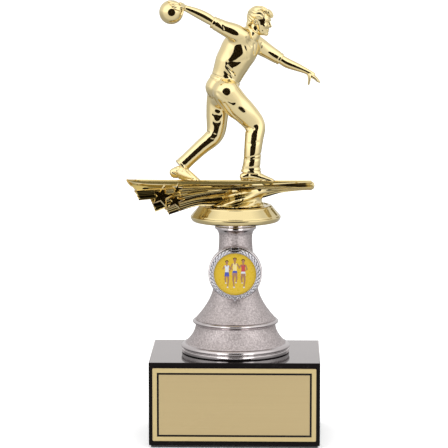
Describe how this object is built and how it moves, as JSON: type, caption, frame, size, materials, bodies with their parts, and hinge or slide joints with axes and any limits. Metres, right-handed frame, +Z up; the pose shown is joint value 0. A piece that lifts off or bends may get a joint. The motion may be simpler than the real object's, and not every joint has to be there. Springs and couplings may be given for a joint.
{
  "type": "bowling trophy",
  "caption": "Bowling trophy: gold bowler swinging a ball on a fluted streamer with stars, pewter riser with a round insert, and a black stone base with a blank plate.",
  "frame": {"origin": "centre of the felt pad's underside, on the axis of the threaded rod", "axes": "+Z up along the threaded rod, -Y towards the front of the plate, +X the way the bowler walks"},
  "size_m": [0.11, 0.0736, 0.2497],
  "materials": {
    "felt": "black felt",
    "black_stone": "polished black marble",
    "foam_tape": "white foam tape",
    "plate_gold": "satin gold lacquer with a black printed border line",
    "zinc_steel": "zinc plated",
    "satin_pewter": "metallised plastic, fine-grained satin pewter",
    "yellow_foil": "printed yellow foil",
    "bright_silver": "metallised plastic, bright silver",
    "bright_gold": "metallised plastic, bright pale gold"
  },
  "bodies": {
    "base": {"felt_pad": "felt", "stone_block": "black_stone", "plate_tape": "foam_tape", "engraving_plate": "plate_gold", "flat_washer": "zinc_steel", "lock_washer": "zinc_steel", "clamp_nut": "zinc_steel"},
    "riser": {"riser_shell": "satin_pewter", "insert_tape": "foam_tape", "insert_disc": "yellow_foil", "insert_ring": "bright_silver"},
    "topper": {"threaded_rod": "zinc_steel", "captive_nut": "zinc_steel", "topper_disc": "bright_gold", "star_streamer": "bright_gold", "bowler_body": "bright_gold", "ball_arm": "bright_gold", "bowling_ball": "bright_gold", "guide_arm": "bright_gold"}
  },
  "joints": [
    {"name": "riser_turn", "type": "hinge", "parent": "base", "child": "riser", "pos_m": [0, 0, 0.049], "axis": [0, 0, 1], "continuous": true},
    {"name": "topper_turn", "type": "hinge", "parent": "riser", "child": "topper", "pos_m": [0, 0, 0.124], "axis": [0, 0, 1], "continuous": true}
  ]
}
